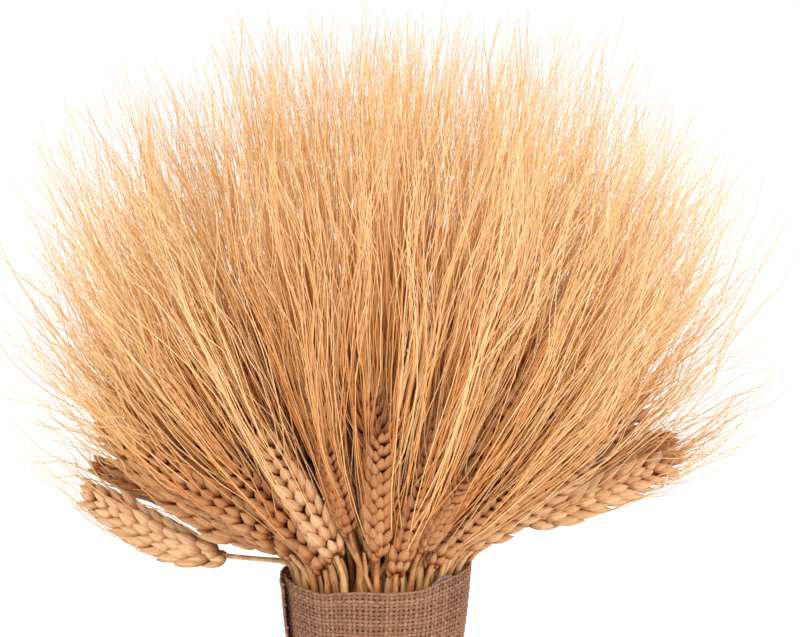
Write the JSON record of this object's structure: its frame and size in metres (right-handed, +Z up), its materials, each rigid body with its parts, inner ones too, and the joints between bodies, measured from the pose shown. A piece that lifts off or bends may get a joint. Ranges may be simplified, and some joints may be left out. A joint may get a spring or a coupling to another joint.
{
  "type": "bundle of dried wheat",
  "caption": "Standing bundle of dried bearded wheat, fanned out above a burlap wrap and held by a band at its waist.",
  "frame": {"origin": "centre of the level-cut straw ends, on the surface that the bundle stands on", "axes": "+Z up along the bundle to the tips of the awns, -Y the front, +X to the right seen from the front; the fan is widest along X"},
  "size_m": [0.3287, 0.2938, 0.4036],
  "materials": {
    "straw": "dry matte straw, ears and awns",
    "burlap": "coarse plain-woven jute",
    "film": "clear crinkled film",
    "band": "plain natural rubber band"
  },
  "bodies": {
    "root": {"outer_stalk_01": "straw", "outer_stalk_02": "straw", "outer_stalk_03": "straw", "outer_stalk_04": "straw", "outer_stalk_05": "straw", "outer_stalk_06": "straw", "outer_stalk_07": "straw", "outer_stalk_08": "straw", "outer_stalk_09": "straw", "outer_stalk_10": "straw", "outer_stalk_11": "straw", "outer_stalk_12": "straw", "outer_stalk_13": "straw", "outer_stalk_14": "straw", "outer_stalk_15": "straw", "outer_stalk_16": "straw", "outer_stalk_17": "straw", "outer_stalk_18": "straw", "outer_stalk_19": "straw", "outer_stalk_20": "straw", "outer_stalk_21": "straw", "outer_stalk_22": "straw", "outer_stalk_23": "straw", "outer_stalk_24": "straw", "outer_stalk_25": "straw", "outer_stalk_26": "straw", "outer_stalk_27": "straw", "outer_stalk_28": "straw", "outer_stalk_29": "straw", "outer_stalk_30": "straw", "middle_stalk_01": "straw", "middle_stalk_02": "straw", "middle_stalk_03": "straw", "middle_stalk_04": "straw", "middle_stalk_05": "straw", "middle_stalk_06": "straw", "middle_stalk_07": "straw", "middle_stalk_08": "straw", "middle_stalk_09": "straw", "middle_stalk_10": "straw", "middle_stalk_11": "straw", "middle_stalk_12": "straw", "middle_stalk_13": "straw", "middle_stalk_14": "straw", "middle_stalk_15": "straw", "middle_stalk_16": "straw", "middle_stalk_17": "straw", "middle_stalk_18": "straw", "middle_stalk_19": "straw", "middle_stalk_20": "straw", "middle_stalk_21": "straw", "middle_stalk_22": "straw", "middle_stalk_23": "straw", "middle_stalk_24": "straw", "inner_stalks": "straw", "binding_band": "band", "film_sleeve": "film", "burlap_wrap": "burlap"}
  },
  "joints": []
}
